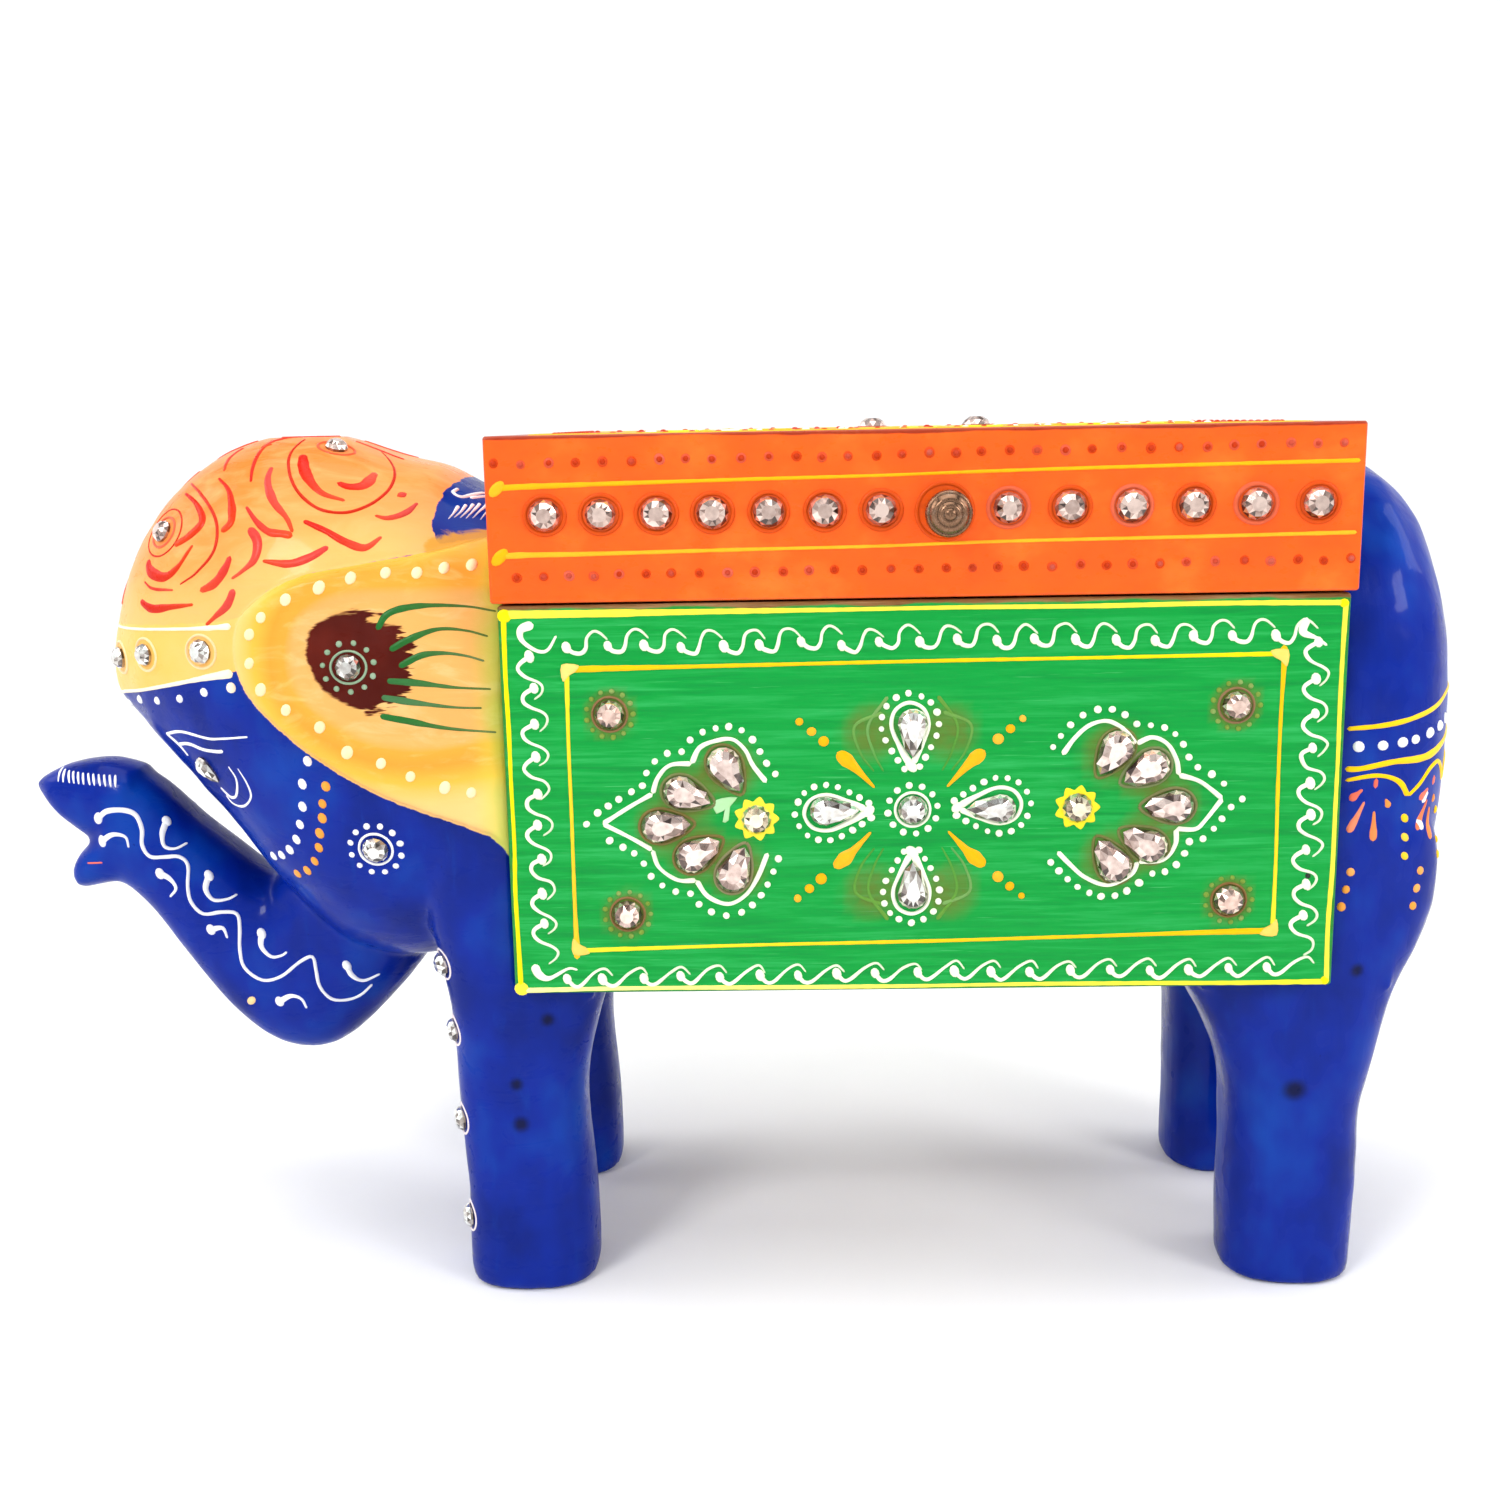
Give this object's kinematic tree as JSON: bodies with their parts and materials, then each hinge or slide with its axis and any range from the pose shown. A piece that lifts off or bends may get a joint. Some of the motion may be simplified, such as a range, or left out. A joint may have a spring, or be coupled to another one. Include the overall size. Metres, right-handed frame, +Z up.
{
  "type": "elephant box",
  "caption": "Painted wooden elephant box: carved head with raised trunk, carved rump and legs, set with glass stones, and a back-hinged lid with a turned knob.",
  "frame": {"origin": "on the ground under the middle of the overall box, feet standing on Z = 0", "axes": "+X towards the rump with the head towards -X, +Y towards the hinges with the knob towards -Y, +Z up"},
  "size_m": [0.2537, 0.0874, 0.147],
  "materials": {
    "blue_paint": "glossy hand-brushed ultramarine enamel on carved wood",
    "green_paint": "satin brushed emerald paint on board",
    "orange_paint": "satin orange paint on board",
    "bare_wood": "bare sanded hardwood",
    "cut_glass": "clear cut glass with foil back",
    "knob_metal": "turned, polished, slightly tarnished",
    "brass": "pressed sheet brass"
  },
  "bodies": {
    "elephant": {"carved_head": "blue_paint", "carved_rump": "blue_paint", "centre_stone": "cut_glass", "corner_stone_bottom_head": "cut_glass", "corner_stone_bottom_rump": "cut_glass", "corner_stone_top_head": "cut_glass", "corner_stone_top_rump": "cut_glass", "drop_stone_bottom": "cut_glass", "drop_stone_head": "cut_glass", "drop_stone_rump": "cut_glass", "drop_stone_top": "cut_glass", "end_wall_head": "bare_wood", "end_wall_rump": "bare_wood", "fan_head_stone_0": "cut_glass", "fan_head_stone_1": "cut_glass", "fan_head_stone_2": "cut_glass", "fan_head_stone_3": "cut_glass", "fan_head_stone_4": "cut_glass", "fan_head_stone_5": "cut_glass", "fan_rump_stone_0": "cut_glass", "fan_rump_stone_1": "cut_glass", "fan_rump_stone_2": "cut_glass", "fan_rump_stone_3": "cut_glass", "fan_rump_stone_4": "cut_glass", "fan_rump_stone_5": "cut_glass", "floor_board": "bare_wood", "hinge_head_box_leaf": "brass", "hinge_head_pin": "brass", "hinge_rump_box_leaf": "brass", "hinge_rump_pin": "brass", "side_panel_back": "green_paint", "side_panel_front": "green_paint"},
    "lid": {"hinge_head_lid_leaf": "brass", "hinge_rump_lid_leaf": "brass", "knob": "knob_metal", "knob_stud": "brass", "lid_back": "orange_paint", "lid_end_head": "orange_paint", "lid_end_rump": "orange_paint", "lid_front": "orange_paint", "lid_stone_01": "cut_glass", "lid_stone_02": "cut_glass", "lid_stone_03": "cut_glass", "lid_stone_04": "cut_glass", "lid_stone_05": "cut_glass", "lid_stone_06": "cut_glass", "lid_stone_07": "cut_glass", "lid_stone_08": "cut_glass", "lid_stone_09": "cut_glass", "lid_stone_10": "cut_glass", "lid_stone_11": "cut_glass", "lid_stone_12": "cut_glass", "lid_stone_13": "cut_glass", "lid_top": "orange_paint", "lid_top_stone_1": "cut_glass", "lid_top_stone_2": "cut_glass"}
  },
  "joints": [
    {"name": "lid_hinge", "type": "hinge", "parent": "elephant", "child": "lid", "pos_m": [0.0304, 0.04185, 0.1195], "axis": [-1, 0, 0], "range_deg": [0, 100]}
  ]
}
